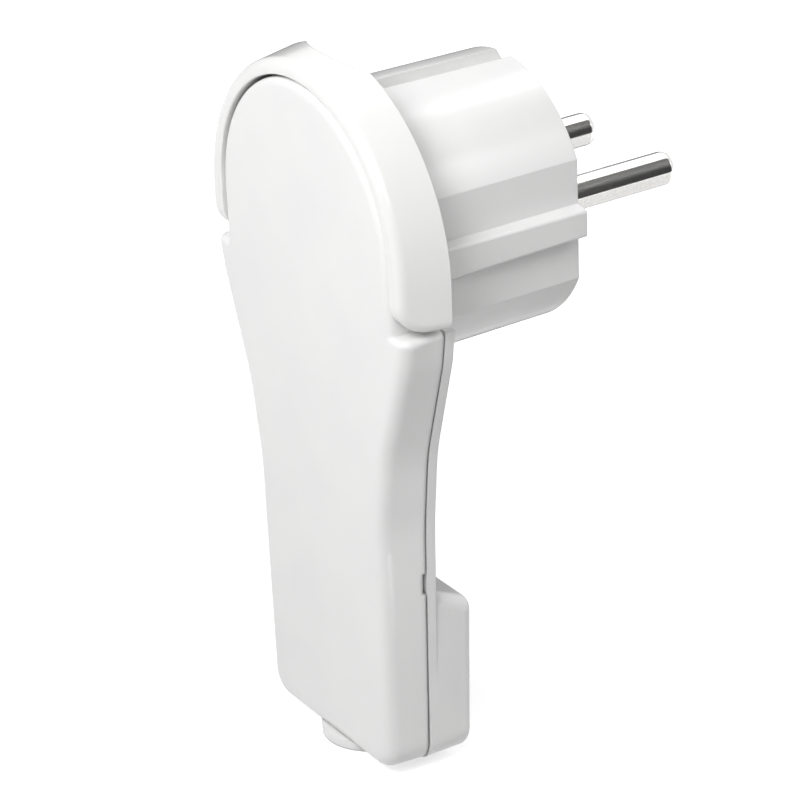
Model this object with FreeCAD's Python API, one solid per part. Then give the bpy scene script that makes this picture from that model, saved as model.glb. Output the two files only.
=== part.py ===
import FreeCAD, Part
import math
import os

# Angled earthed plug with a flat grip and a pull bail round its head.
# X runs across the plug, +Y into the socket and +Z up the grip.
# The origin is midway between the two contact pins, on the engagement face.
# All sizes are in millimetres.

V = FreeCAD.Vector

# Contact pins
pin_radius = 2.4
pin_root_radius = 2.6
pin_pitch = 19.0
pin_reach = 19.0
pin_tip_round = 1.5
pin_bore_clearance = 0.05
terminal_radius = 3.5
terminal_length = 11.7
chamber_clearance = 0.6
wire_hole_radius = 1.5
wire_hole_inset = 5.0

# Plug body that enters the socket
body_depth = 27.4
body_end_radius = 19.3
body_draft = 0.25
body_bevel_depth = 2.25
body_bevel_width = 4.2
body_wall = 2.0
end_wall = 9.0
flat_half_width = 17.2
rib_top = 19.3
rib_foot_half = 2.5
rib_root_half = 2.25
rib_end_half = 1.95
rib_edge_round = 0.5
channel_half_width = 1.8
channel_floor = 15.8
channel_root = 20.9
channel_run_out = 2.1
channel_backing = 1.9
flare = 0.7

# Shells of the grip
plate_thickness = 1.4
seam_gap = 0.3
cover_depth = 6.2
cover_wall = 1.8
edge_round = 2.0
grip_bottom = 77.6
grip_corner_round = 4.0
face_lean = 0.0081
ledge_round = 0.8
island_round = 1.2
arch_rise = 1.6
lip_height = 1.4
lip_thickness = 0.9
lip_clearance = 0.1

# Half widths of the grip at its face and at its seam, and their drops below the ledge
shoulder_half_face = 24.5
shoulder_half_seam = 24.0
upper_half_face = 23.5
upper_half_seam = 23.3
upper_drop = 4.8
upper_round = 12.0
waist_half_face = 17.95
waist_half_seam = 18.75
waist_drop = 20.0
waist_round = 30.0
lower_half_face = 15.95
lower_half_seam = 17.45
lower_drop = 31.5
lower_round = 40.0
foot_half_face = 15.85
foot_half_seam = 16.25

# Terminal box behind the lower grip
box_stand = 6.3
box_lean = 0.7
box_half_width = 16.7
box_top_front = 49.6
box_top_rear = 53.3
box_top_round = 2.0
box_edge_round = 1.2
pry_top = 46.3
pry_length = 3.3
pry_depth = 0.45

# Bail and its pivots
bail_radius = 26.0
bail_width = 4.6
bail_taper = 1.9
bail_front_rise = 0.9
bail_gap = 0.4
bail_round_share = 0.6
bail_front_lead = 0.7
bail_seat_gap = 0.15
bail_inner_round = 0.2
leg_drop = 6.3
ledge_gap = 0.85
pivot_inset = 4.4
pivot_radius = 1.5
pivot_clearance = 0.05
pivot_slot_clearance = 0.2
ear_thickness = 2.4
ear_wall = 1.2
scoop_half_width = 8.0
scoop_depth = 2.2
stop_ledge = 0.6
stop_foot = 8.0

# Earth strap and its terminal
strap_thickness = 0.8
strap_half_width = 1.5
strap_end_gap = 1.5
strap_slot_clearance = 0.1
strap_bridge_half = 2.7
earth_clamp_gap = 0.3
earth_clamp_half = 2.6
earth_clamp_thickness = 1.2

# Retainer over the terminals
retainer_thickness = 1.6
retainer_half_height = 3.8
retainer_end_gap = 0.9

# Fasteners
terminal_screw_radius = 1.75
terminal_head_radius = 2.75
terminal_head_height = 2.0
small_screw_radius = 1.1
small_head_radius = 1.9
small_head_height = 1.2
small_screw_length = 8.0
small_screw_offset = 6.3
main_screw_radius = 1.75
main_head_radius = 3.1
main_head_height = 2.4
main_head_recess = 4.5
main_tip_gap = 0.8
main_boss_radius = 4.2
insert_wall = 1.0
main_insert_length = 8.0
lower_screw_radius = 1.5
lower_head_radius = 2.75
lower_head_height = 2.2
lower_screw_drop = 57.5
lower_boss_radius = 4.0
lower_screw_seat = 3.8
lower_insert_length = 4.0
screw_slot_width = 0.7
screw_slot_depth = 0.7
hole_clearance = 0.15
thread_clearance = 0.03

# Cable inlet and cord clamp
cable_offset = 0.15
cable_radius = 3.5
collar_radius = 7.0
collar_drop = 1.55
collar_rise = 4.0
grommet_wall = 1.6
grommet_clearance = 0.05
grommet_flange = 0.9
grommet_flange_rise = 1.0
grommet_flange_height = 1.4
clamp_drop = 66.5
clamp_half_length = 12.8
clamp_half_height = 3.4
clamp_thickness = 2.6
clamp_screw_offset = 9.6
clamp_post_radius = 3.1
clamp_screw_length = 8.0
saddle_half_width = 5.5
saddle_lap = 1.75
clamp_top_gap = 0.4

# Planes across the plug, from the engagement face back to the grip's face
plate_rear = -body_depth
plate_front = plate_rear - plate_thickness
cover_edge = plate_front - seam_gap
cable_y = plate_front + cable_offset
face = cover_edge - cover_depth
cover_inside = face + cover_wall
box_rear = plate_rear + box_stand
base_wall = cover_wall + lip_clearance + lip_thickness
box_floor = box_rear - base_wall
body_root_radius = body_end_radius + body_draft
terminal_front = -end_wall - terminal_length
strap_front = terminal_front
pocket_floor = strap_front + strap_thickness
retainer_front = strap_front - retainer_thickness
main_screw_tip = retainer_front - main_insert_length + main_tip_gap
retainer_arm = small_screw_offset + small_head_radius
earth_terminal_drop = retainer_arm + earth_clamp_gap + earth_clamp_half

# Places of the bail and of the shoulder ledge under it
bail_inner_radius = bail_radius - bail_width
island_radius = bail_inner_radius - bail_gap
bail_front = face - bail_front_lead
bail_rear = plate_front - bail_seat_gap
leg_end = -leg_drop
ledge = leg_end - ledge_gap
pivot_y = bail_front + pivot_inset
pivot_z = leg_end + pivot_inset
ear_outer = island_radius - cover_wall - lip_clearance
bottom = -grip_bottom
overlap = 5.0
over = 1.0
plane_tolerance = 0.001


def block(x0, x1, y0, y1, z0, z1):
    return Part.makeBox(x1 - x0, y1 - y0, z1 - z0, V(x0, y0, z0))


def rod_y(radius, y0, y1, x=0.0, z=0.0):
    return Part.makeCylinder(radius, y1 - y0, V(x, y0, z), V(0, 1, 0))


def rod_x(radius, x0, x1, y, z):
    return Part.makeCylinder(radius, x1 - x0, V(x0, y, z), V(1, 0, 0))


def rod_z(radius, z0, z1, x, y):
    return Part.makeCylinder(radius, z1 - z0, V(x, y, z0), V(0, 0, 1))


def cone_y(radius0, radius1, y0, y1, x=0.0, z=0.0):
    return Part.makeCone(radius0, radius1, y1 - y0, V(x, y0, z), V(0, 1, 0))


def fused(shapes):
    return shapes[0].multiFuse(shapes[1:]).removeSplitter()


def mirrored(shape):
    return shape.mirror(V(0, 0, 0), V(1, 0, 0))


def both_sides(shape):
    return [shape, mirrored(shape)]


def unit(dx, dz):
    length = math.hypot(dx, dz)
    return dx / length, dz / length


def directions(corners):
    """Unit direction of each side of an outline that runs anticlockwise."""
    result = []
    for (x0, z0, _), (x1, z1, _) in zip(corners, corners[1:] + corners[:1]):
        result.append(unit(x1 - x0, z1 - z0))
    return result


def inset_outline(corners, inset):
    """The same outline with every side moved inwards and its roundings kept concentric."""
    sides = directions(corners)
    moved = []
    for k, (x, z, radius) in enumerate(corners):
        ax, az = sides[k - 1]
        bx, bz = sides[k]
        turn = ax * bz - az * bx
        along = (1.0 - (ax * bx + az * bz)) / turn
        new_x = x + inset * (-az - along * ax)
        new_z = z + inset * (ax - along * az)
        new_radius = max(radius - inset, 0.0) if turn > 0 else radius + inset
        moved.append((new_x, new_z, new_radius))
    return moved


def outline_wire(corners, y):
    """Closed wire at depth y with a tangent arc at each corner that has a radius."""
    sides = directions(corners)
    edges = []
    starts = []
    ends = []
    middles = []
    for k, (x, z, radius) in enumerate(corners):
        ax, az = sides[k - 1]
        bx, bz = sides[k]
        turn = math.atan2(ax * bz - az * bx, ax * bx + az * bz)
        reach = radius * math.tan(abs(turn) / 2)
        start = V(x - ax * reach, y, z - az * reach)
        end = V(x + bx * reach, y, z + bz * reach)
        hand = 1.0 if turn > 0 else -1.0
        centre = V(start.x - hand * az * radius, y, start.z + hand * ax * radius)
        corner = V(x, y, z)
        middle = centre + (corner - centre).normalize() * radius if radius > 0 else corner
        starts.append(start)
        ends.append(end)
        middles.append(middle)
    for k, (x, z, radius) in enumerate(corners):
        if radius > 0:
            edges.append(Part.Arc(starts[k], middles[k], ends[k]).toShape())
        following = (k + 1) % len(corners)
        edges.append(Part.LineSegment(ends[k], starts[following]).toShape())
    return Part.Wire(edges)


def arch_wire(radius, centre_z, foot_z, y):
    """Half round top on straight sides that run down to foot_z."""
    left_foot = V(-radius, y, foot_z)
    right_foot = V(radius, y, foot_z)
    right_spring = V(radius, y, centre_z)
    left_spring = V(-radius, y, centre_z)
    crown = V(0, y, centre_z + radius)
    return Part.Wire([
        Part.LineSegment(left_foot, right_foot).toShape(),
        Part.LineSegment(right_foot, right_spring).toShape(),
        Part.Arc(right_spring, crown, left_spring).toShape(),
        Part.LineSegment(left_spring, left_foot).toShape()])


def prism(wire, y0, y1):
    """Solid between two depths from a wire drawn at y0."""
    return Part.Face(wire).extrude(V(0, y1 - y0, 0))


def side_prism(points, x0, x1):
    """Solid between two X values from a closed list of (y, z) points."""
    corners = [V(x0, y, z) for y, z in points]
    wire = Part.makePolygon(corners + corners[:1])
    return Part.Face(wire).extrude(V(x1 - x0, 0, 0))


def edges_at(solid, y, keep=None):
    """Edges that lie in the plane at depth y, and that keep() accepts."""
    found = []
    for edge in solid.Edges:
        points = [vertex.Point for vertex in edge.Vertexes] + [edge.CenterOfMass]
        flat = all(abs(point.y - y) < plane_tolerance for point in points)
        if flat and (keep is None or keep(edge)):
            found.append(edge)
    return found


# Half width at the face, half width at the seam, height and rounding, from the foot upwards
side_corners = [
    (foot_half_face, foot_half_seam, bottom, grip_corner_round),
    (lower_half_face, lower_half_seam, ledge - lower_drop, lower_round),
    (waist_half_face, waist_half_seam, ledge - waist_drop, waist_round),
    (upper_half_face, upper_half_seam, ledge - upper_drop, upper_round),
    (shoulder_half_face, shoulder_half_seam, ledge, 0.0)]


def grip_outline(y):
    """Outline of the grip at depth y, run on above its ledge in the line of its shoulders."""
    share = (y - face) / cover_depth
    right = []
    for at_face, at_seam, z, radius in side_corners:
        right.append((at_face + share * (at_seam - at_face), z, radius))
    top_x, top_z, _ = right.pop()
    below_x, below_z, _ = right[-1]
    slope = (top_x - below_x) / (top_z - below_z)
    right.append((top_x + slope * overlap, top_z + overlap, 0.0))
    left = [(-x, z, radius) for x, z, radius in reversed(right)]
    return right + left


def grip_form(inset, y0, y1):
    """Grip between two depths with its walls moved inwards, still without its level ledge."""
    return Part.makeLoft([
        outline_wire(inset_outline(grip_outline(y0), inset), y0),
        outline_wire(inset_outline(grip_outline(y1), inset), y1)], True, True)


def levelled(form, inset):
    """The grip's form cut off level at its ledge."""
    reach = shoulder_half_face + overlap
    above = block(-reach, reach, face - overlap, 0, ledge - inset, ledge + overlap * 2)
    return form.cut(above)


def box_outline(top):
    return [
        (-box_half_width, bottom, grip_corner_round),
        (box_half_width, bottom, grip_corner_round),
        (box_half_width, -top, box_top_round),
        (-box_half_width, -top, box_top_round)]


island_foot = ledge - edge_round - overlap


def face_at(z):
    """Depth of the grip's face, which stands further forward at the head than at the foot."""
    return face - face_lean * (z - bottom)


def cut_to_face(form):
    """The form with everything in front of the grip's face taken off."""
    low = bottom - over
    high = island_radius * 2
    reach = shoulder_half_face + overlap
    return form.cut(side_prism([
        (face_at(low), low),
        (face_at(high), high),
        (face - overlap, high),
        (face - overlap, low)], -reach, reach))


def edges_on_face(solid, lowest, highest):
    """Edges that lie in the grip's face, with their middles between two heights."""
    found = []
    for edge in solid.Edges:
        points = [vertex.Point for vertex in edge.Vertexes] + [edge.CenterOfMass]
        flat = all(abs(point.y - face_at(point.z)) < plane_tolerance for point in points)
        if flat and lowest < edge.CenterOfMass.z < highest:
            found.append(edge)
    return found


def edges_on_ledge(solid):
    """Edges round the level ledge, apart from those at the seam."""
    found = []
    for edge in solid.Edges:
        points = [vertex.Point for vertex in edge.Vertexes] + [edge.CenterOfMass]
        level = all(abs(point.z - ledge) < plane_tolerance for point in points)
        if level and edge.CenterOfMass.y < cover_edge - over / 2:
            found.append(edge)
    return found


def make_collar_half(rear_side):
    """Half of the cable inlet's collar, on the cover's or on the base's side of the seam."""
    collar = rod_z(collar_radius, bottom - collar_drop, bottom + collar_rise, 0, cable_y)
    if rear_side:
        keep = block(-collar_radius - over, collar_radius + over, plate_front,
                     plate_front + collar_radius * 2, bottom - collar_drop - over, 0)
    else:
        keep = block(-collar_radius - over, collar_radius + over, cover_edge - collar_radius * 2,
                     cover_edge, bottom - collar_drop - over, 0)
    return collar.common(keep)


def collar_bore():
    """Bore of the collar with the groove that holds the grommet's flange."""
    radius = cable_radius + grommet_wall + grommet_clearance
    bore = rod_z(radius, bottom - collar_drop - over, bottom + collar_rise + over, 0, cable_y)
    groove_foot = bottom + grommet_flange_rise - grommet_clearance
    groove_top = bottom + grommet_flange_rise + grommet_flange_height + grommet_clearance
    return bore.fuse(rod_z(radius + grommet_flange, groove_foot, groove_top, 0, cable_y))


def make_cover():
    """Front shell: the face of the head and grip, with its two screw bosses."""
    front = face - overlap / 2
    grip = cut_to_face(grip_form(0, front, cover_edge))
    rim = edges_on_face(grip, bottom - over, ledge + overlap / 2)
    grip = levelled(grip.makeFillet(edge_round, rim), 0)
    grip = grip.makeFillet(ledge_round, edges_on_ledge(grip))
    island = cut_to_face(prism(arch_wire(island_radius, arch_rise, island_foot, front), front, cover_edge))
    rim = edges_on_face(island, island_foot + over / 2, island_radius * 2)
    island = island.makeFillet(island_round, rim)
    collar = make_collar_half(False)
    collar_foot = collar.cut(block(-shoulder_half_face, shoulder_half_face, front, 0, bottom, 0))
    shell = fused([grip, island])
    collar_top = collar.common(shell)
    hollow_grip = levelled(grip_form(cover_wall, cover_inside, cover_edge + over), cover_wall)
    inner_arch = arch_wire(island_radius - cover_wall, arch_rise, island_foot, cover_inside)
    hollow_head = prism(inner_arch, cover_inside, cover_edge + over)
    shell = shell.cut(hollow_grip.fuse(hollow_head))
    main_boss = rod_y(main_boss_radius, cover_inside, retainer_front)
    lower_boss = rod_y(lower_boss_radius, cover_inside, plate_front, 0, -lower_screw_drop)
    shell = fused([shell, main_boss, lower_boss, collar_foot, collar_top])
    main_hole = rod_y(main_screw_radius + insert_wall, retainer_front - main_insert_length,
                      retainer_front)
    main_tip = rod_y(main_screw_radius + hole_clearance, cover_inside, retainer_front)
    lower_hole = rod_y(lower_screw_radius + insert_wall, plate_front - lower_insert_length,
                       plate_front, 0, -lower_screw_drop)
    cuts = [main_hole, main_tip, lower_hole, collar_bore()]
    slot_radius = pivot_radius + pivot_slot_clearance
    slot_inner = island_radius - cover_wall - over
    slot_outer = island_radius + over
    slot_end = rod_x(slot_radius, slot_inner, slot_outer, pivot_y, pivot_z)
    slot_run = block(slot_inner, slot_outer, pivot_y, cover_edge + over,
                     pivot_z - slot_radius, pivot_z + slot_radius)
    cuts += both_sides(slot_end.fuse(slot_run)) + both_sides(ear_form(lip_clearance))
    pry = block(foot_half_seam - cover_wall - over, lower_half_seam + over,
                cover_edge - pry_depth, cover_edge + over, -pry_top - pry_length, -pry_top)
    cuts += both_sides(pry)
    for cut in cuts:
        shell = shell.cut(cut)
    return shell


def make_body_blank():
    """The turned form of the plug body with its two side flats and their ribs."""
    profile = Part.makePolygon([
        V(0, plate_front, 0),
        V(body_root_radius, plate_front, 0),
        V(body_end_radius, -body_bevel_depth, 0),
        V(body_end_radius - body_bevel_width, 0, 0),
        V(0, 0, 0),
        V(0, plate_front, 0)])
    turned = Part.Face(profile).revolve(V(0, 0, 0), V(0, 1, 0), 360)
    root_flat = flat_half_width + body_draft
    reach = body_root_radius + over
    end_flat = flat_half_width - body_bevel_width
    flats = Part.makePolygon([
        V(-root_flat, plate_front, -reach),
        V(root_flat, plate_front, -reach),
        V(flat_half_width, -body_bevel_depth, -reach),
        V(end_flat, 0, -reach),
        V(-end_flat, 0, -reach),
        V(-flat_half_width, -body_bevel_depth, -reach),
        V(-root_flat, plate_front, -reach)])
    turned = turned.common(Part.Face(flats).extrude(V(0, 0, reach * 2)))
    rib = Part.makeLoft([
        rib_wire(plate_rear, rib_top + body_draft, rib_root_half),
        rib_wire(-body_bevel_depth, rib_top, rib_end_half)], True, True)
    rib_edges = [edge for edge in rib.Edges if runs_along_rib(edge)]
    rib = rib.makeFillet(rib_edge_round, rib_edges)
    flare_ring = cone_y(body_root_radius + flare, body_root_radius, plate_rear, plate_rear + flare)
    flare_cut = block(-root_flat - flare, root_flat + flare, plate_rear, 0, -reach, reach)
    return fused([turned, flare_ring.common(flare_cut)] + both_sides(rib))


def runs_along_rib(edge):
    """True for the long edges of a rib's outer face."""
    points = [vertex.Point for vertex in edge.Vertexes]
    outer = all(point.x > rib_top - rib_edge_round for point in points)
    return outer and abs(points[0].y - points[1].y) > over


def rib_wire(y, top, half):
    """Section of one side rib, wider at its foot than at its outer face."""
    inner = flat_half_width - over
    return Part.makePolygon([
        V(inner, y, -rib_foot_half),
        V(top, y, -half),
        V(top, y, half),
        V(inner, y, rib_foot_half),
        V(inner, y, -rib_foot_half)])


def channel_cut():
    """Earth channel at the top of the body, open at the engagement face."""
    reach = body_root_radius + flare + over
    return side_prism([
        (over, channel_floor),
        (-channel_root, channel_floor),
        (-channel_root - channel_run_out, body_root_radius),
        (-channel_root - channel_run_out, reach),
        (over, reach)], -channel_half_width, channel_half_width)


def flipped(shape):
    return shape.mirror(V(0, 0, 0), V(0, 0, 1))


def wire_pocket():
    """Space inside the body for the wires, kept clear of the flats and the earth channels."""
    radius = body_end_radius - body_wall
    pocket = rod_y(radius, plate_front - over, pocket_floor)
    inner_flat = flat_half_width - body_wall
    sides = block(-inner_flat, inner_flat, plate_front - over, 0, -radius, radius)
    backing_half = channel_half_width + channel_backing
    backing_z = channel_floor - channel_backing
    backing = block(-backing_half, backing_half, plate_front - over * 2, over, backing_z, radius + over)
    return pocket.common(sides).cut(backing).cut(flipped(backing))


def stop_ledges():
    """Two short ledges behind the bail that it rests against."""
    radius = bail_inner_radius + stop_ledge
    rim = prism(arch_wire(radius, arch_rise, 0, plate_front), plate_front, plate_rear)
    clear_middle = scoop_half_width + over
    right = block(clear_middle, radius + over, plate_front, plate_rear, stop_foot, radius * 2)
    return [rim.common(right), rim.common(mirrored(right))]


def locating_lip():
    """Rim on the base that the cover's walls slide over."""
    outer_inset = cover_wall + lip_clearance
    front = plate_front - lip_height
    outer_grip = levelled(grip_form(outer_inset, front, plate_front), outer_inset)
    inner_grip = levelled(grip_form(base_wall, front, plate_front), base_wall)
    outer_arch = arch_wire(island_radius - outer_inset, arch_rise, island_foot, front)
    inner_arch = arch_wire(island_radius - base_wall, arch_rise, island_foot, front)
    outer_head = prism(outer_arch, front, plate_front)
    inner_head = prism(inner_arch, front, plate_front)
    lip = outer_grip.fuse(outer_head).cut(inner_grip.fuse(inner_head))
    inlet = rod_z(collar_radius + lip_clearance, bottom - over, bottom + collar_rise + over, 0, cable_y)
    return lip.cut(inlet)


def ear_form(margin):
    """Round-nosed post that carries one trunnion of the bail, grown by a margin all round."""
    outer_x = ear_outer + margin
    inner_x = ear_outer - ear_thickness - margin
    half = pivot_radius + ear_wall + margin
    post = block(inner_x, outer_x, pivot_y, plate_front, pivot_z - half, pivot_z + half)
    nose = rod_x(half, inner_x, outer_x, pivot_y, pivot_z)
    return post.fuse(nose)


def pivot_bore():
    return rod_x(pivot_radius + pivot_clearance, ear_outer - ear_thickness - over, ear_outer + over,
                 pivot_y, pivot_z)


def cord_posts():
    """Posts for the clamp's screws and the saddle that the cable lies in."""
    clamp_seat = cable_y - clamp_half_gap()
    post = rod_y(clamp_post_radius, clamp_seat, box_floor, clamp_screw_offset, -clamp_drop)
    saddle = block(-saddle_half_width, saddle_half_width, cable_y + saddle_lap, box_floor,
                   -clamp_drop - clamp_half_height, -clamp_drop + clamp_half_height)
    groove = rod_z(cable_radius, bottom, 0, 0, cable_y)
    return both_sides(post) + [saddle.cut(groove)]


def clamp_half_gap():
    """Distance from the cable's axis to the clamp bar's seat."""
    return cable_y - (cover_inside + clamp_top_gap + clamp_thickness)


def lean_at(z):
    """How far the rear of the terminal box leans forwards at height z."""
    return box_lean * (-box_top_rear - z) / (grip_bottom - box_top_rear)


def make_box():
    """Outer form of the terminal box, with a rear face that leans forwards at its foot."""
    box = Part.makeLoft([
        outline_wire(box_outline(box_top_front), plate_front),
        outline_wire(box_outline(box_top_rear), box_rear)], True, True)
    foot = bottom - over
    wedge = side_prism([
        (box_rear, -box_top_rear),
        (box_rear + over, -box_top_rear),
        (box_rear + over, foot),
        (box_rear - lean_at(foot), foot)], -box_half_width - over, box_half_width + over)
    box = box.cut(wedge)
    rear_edges = []
    for edge in box.Edges:
        points = [vertex.Point for vertex in edge.Vertexes] + [edge.CenterOfMass]
        if all(point.y > box_rear - lean_at(point.z) - plane_tolerance for point in points):
            rear_edges.append(edge)
    return box.makeFillet(box_edge_round, rear_edges)


def make_plug_base():
    """Rear shell in one moulding: plug body, back plate and terminal box."""
    plate = prism(outline_wire(grip_outline(cover_edge), plate_front), plate_front, plate_rear)
    plate = levelled(plate, 0)
    head = prism(arch_wire(island_radius, arch_rise, island_foot, plate_front), plate_front, plate_rear)
    box = make_box()
    base = fused([plate, head, box, make_body_blank()] + stop_ledges())
    hollow_box = Part.makeLoft([
        outline_wire(inset_outline(box_outline(box_top_front), base_wall), plate_front - over),
        outline_wire(inset_outline(box_outline(box_top_rear), base_wall), box_floor)], True, True)
    chamber = rod_y(terminal_radius + chamber_clearance, pocket_floor - over, -end_wall, pin_pitch / 2)
    base = base.cut(hollow_box).cut(wire_pocket())
    for chamber_side in both_sides(chamber):
        base = base.cut(chamber_side)
    base = base.cut(channel_cut()).cut(flipped(channel_cut()))
    post = rod_y(lower_boss_radius, plate_front, box_floor + over, 0, -lower_screw_drop)
    added = [base, locating_lip(), post, make_collar_half(True)] + cord_posts()
    base = fused(added + both_sides(ear_form(0)))
    pin_bore = rod_y(pin_root_radius + pin_bore_clearance, -end_wall - over, over, pin_pitch / 2)
    slot_half = strap_half_width + strap_slot_clearance
    strap_slot = block(-slot_half, slot_half, strap_front - strap_slot_clearance,
                       pocket_floor, 0, channel_floor + strap_thickness)
    small_hole = rod_y(small_screw_radius + thread_clearance, pocket_floor - over,
                       pocket_floor + small_screw_length, 0, small_screw_offset)
    earth_hole = rod_y(terminal_screw_radius + hole_clearance, pocket_floor - over,
                       pocket_floor + end_wall, 0, -earth_terminal_drop)
    main_hole = rod_y(main_screw_radius + hole_clearance, pocket_floor - over, over)
    main_recess = rod_y(main_head_radius + hole_clearance, -main_head_recess, over)
    lower_hole = rod_y(lower_screw_radius + hole_clearance, plate_front - over, box_rear + over,
                       0, -lower_screw_drop)
    lower_seat = plate_front + lower_screw_seat
    lower_recess = rod_y(lower_head_radius + hole_clearance, lower_seat, box_rear + over,
                         0, -lower_screw_drop)
    clamp_hole = rod_y(small_screw_radius + thread_clearance, cover_inside, box_floor,
                       clamp_screw_offset, -clamp_drop)
    cuts = both_sides(pin_bore) + both_sides(clamp_hole) + [small_hole, flipped(small_hole)]
    cuts += [strap_slot, flipped(strap_slot), earth_hole, main_hole, main_recess]
    cuts += [lower_hole, lower_recess, collar_bore()] + both_sides(pivot_bore())
    for cut in cuts:
        base = base.cut(cut)
    return base


def make_bail():
    """Pull bail: a flat horseshoe with a scoop for the fingernail and a trunnion on each leg."""
    outer = Part.makeLoft([
        arch_wire(bail_radius - bail_taper, bail_front_rise, leg_end, bail_front),
        arch_wire(bail_radius, 0, leg_end, bail_rear)], True, True)
    inner = arch_wire(bail_inner_radius, arch_rise, leg_end - over, bail_front - over)
    hoop = outer.cut(prism(inner, bail_front - over, bail_rear + over))
    corner = block(-bail_radius, bail_radius, bail_front, pivot_y, leg_end, pivot_z)
    corner = corner.cut(rod_x(pivot_inset, -bail_radius, bail_radius, pivot_y, pivot_z))
    hoop = hoop.cut(corner)
    rear_reach = (scoop_half_width ** 2 + scoop_depth ** 2) / (2 * scoop_depth)
    scoop = rod_z(rear_reach, arch_rise + bail_inner_radius / 2, bail_radius + over,
                  0, bail_rear - scoop_depth + rear_reach)
    hoop = hoop.cut(scoop)
    front_radius = bail_radius - bail_taper
    outer_rim = edges_at(hoop, bail_front, lambda edge: rim_radius(edge) > front_radius - over / 2)
    hoop = hoop.makeFillet((front_radius - bail_inner_radius) * bail_round_share, outer_rim)
    inner_rim = edges_at(hoop, bail_front, lambda edge: rim_radius(edge) < bail_inner_radius + over / 2)
    hoop = hoop.makeFillet(bail_inner_round, inner_rim)
    trunnion = rod_x(pivot_radius, ear_outer - ear_thickness, bail_inner_radius + over, pivot_y, pivot_z)
    return fused([hoop] + both_sides(trunnion))


def rim_radius(edge):
    """Distance of an edge's ends from the plug's axis, level with it below the axis."""
    point = edge.Vertexes[0].Point
    return math.hypot(point.x, max(point.z, 0.0))


def make_contact_pin(x):
    """Turned pin with its terminal head: a wire hole across it and a screw hole down its end."""
    pin = rod_y(pin_radius, -end_wall, pin_reach, x)
    pin = pin.makeFillet(pin_tip_round, edges_at(pin, pin_reach))
    root = rod_y(pin_root_radius, -end_wall, 0, x)
    head = rod_y(terminal_radius, terminal_front, -end_wall, x)
    pin = fused([pin, root, head])
    wire_y = terminal_front + wire_hole_inset
    wire_hole = rod_z(wire_hole_radius, -terminal_radius - over, terminal_radius + over, x, wire_y)
    screw_hole = rod_y(terminal_screw_radius + thread_clearance, terminal_front - over, wire_y, x)
    return pin.cut(wire_hole).cut(screw_hole)


def slotted_screw(radius, head_radius, head_height, seat, tip, x, z, head_side):
    """Cheese-head screw along Y: its head stands off the seat, on the side that head_side gives."""
    crown = seat + head_side * head_height
    shank = rod_y(radius, min(seat, tip), max(seat, tip), x, z)
    head = rod_y(head_radius, min(seat, crown), max(seat, crown), x, z)
    floor = crown - head_side * screw_slot_depth
    slot = block(x - head_radius - over, x + head_radius + over, min(floor, crown), max(floor, crown),
                 z - screw_slot_width / 2, z + screw_slot_width / 2)
    return fused([shank, head]).cut(slot)


def make_terminal_screw(x):
    tip = terminal_front + wire_hole_inset - wire_hole_radius
    return slotted_screw(terminal_screw_radius, terminal_head_radius, terminal_head_height,
                         terminal_front, tip, x, 0, -1)


def make_earth_strap():
    """Bent strap: a bridge across the body and a contact strip in each earth channel."""
    strip_top = channel_floor + strap_thickness
    bridge = block(-strap_half_width, strap_half_width, strap_front, pocket_floor, -strip_top, strip_top)
    widened_z = earth_terminal_drop + earth_clamp_half
    widening = block(-strap_bridge_half, strap_bridge_half, strap_front, pocket_floor,
                     -widened_z, retainer_arm)
    strip = block(-strap_half_width, strap_half_width, strap_front, -strap_end_gap,
                  channel_floor, strip_top)
    strap = fused([bridge, widening, strip, flipped(strip)])
    main_hole = rod_y(main_screw_radius + hole_clearance, strap_front - over, pocket_floor + over)
    earth_hole = rod_y(terminal_screw_radius + thread_clearance, strap_front - over,
                       pocket_floor + over, 0, -earth_terminal_drop)
    small_hole = rod_y(small_screw_radius + hole_clearance, strap_front - over,
                       pocket_floor + over, 0, small_screw_offset)
    for hole in (main_hole, earth_hole, small_hole, flipped(small_hole)):
        strap = strap.cut(hole)
    return strap


def make_earth_clamp():
    """Square washer that holds the earth wire against the strap."""
    front = strap_front - earth_clamp_thickness
    plate = block(-earth_clamp_half, earth_clamp_half, front, strap_front,
                  -earth_terminal_drop - earth_clamp_half, -earth_terminal_drop + earth_clamp_half)
    hole = rod_y(terminal_screw_radius + hole_clearance, front - over, strap_front + over,
                 0, -earth_terminal_drop)
    return plate.cut(hole)


def make_pin_retainer():
    """Cross over both terminal heads and the strap, held by two screws and the main boss."""
    half_length = flat_half_width - body_wall - retainer_end_gap
    bar = block(-half_length, half_length, retainer_front, strap_front,
                -retainer_half_height, retainer_half_height)
    arms = block(-strap_bridge_half, strap_bridge_half, retainer_front, strap_front,
                 -retainer_arm, retainer_arm)
    bar = fused([bar, arms])
    holes = [rod_y(main_screw_radius + hole_clearance, retainer_front - over, strap_front + over)]
    holes += both_sides(rod_y(terminal_head_radius + hole_clearance, retainer_front - over,
                              strap_front + over, pin_pitch / 2))
    small_hole = rod_y(small_screw_radius + hole_clearance, retainer_front - over,
                       strap_front + over, 0, small_screw_offset)
    holes += [small_hole, flipped(small_hole)]
    for hole in holes:
        bar = bar.cut(hole)
    return bar


def make_cord_clamp_bar():
    """Bar that presses the cable into its saddle."""
    front = cover_inside + clamp_top_gap
    rear = front + clamp_thickness
    bar = block(-clamp_half_length, clamp_half_length, front, rear,
                -clamp_drop - clamp_half_height, -clamp_drop + clamp_half_height)
    groove = rod_z(cable_radius, -clamp_drop - clamp_half_height - over,
                   -clamp_drop + clamp_half_height + over, 0, cable_y)
    bar = bar.cut(groove)
    recess_floor = front + small_head_height
    for side in (-1, 1):
        x = side * clamp_screw_offset
        bar = bar.cut(rod_y(small_screw_radius + hole_clearance, front - over, rear + over, x, -clamp_drop))
        bar = bar.cut(rod_y(small_head_radius + hole_clearance, front - over, recess_floor, x, -clamp_drop))
    return bar


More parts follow.
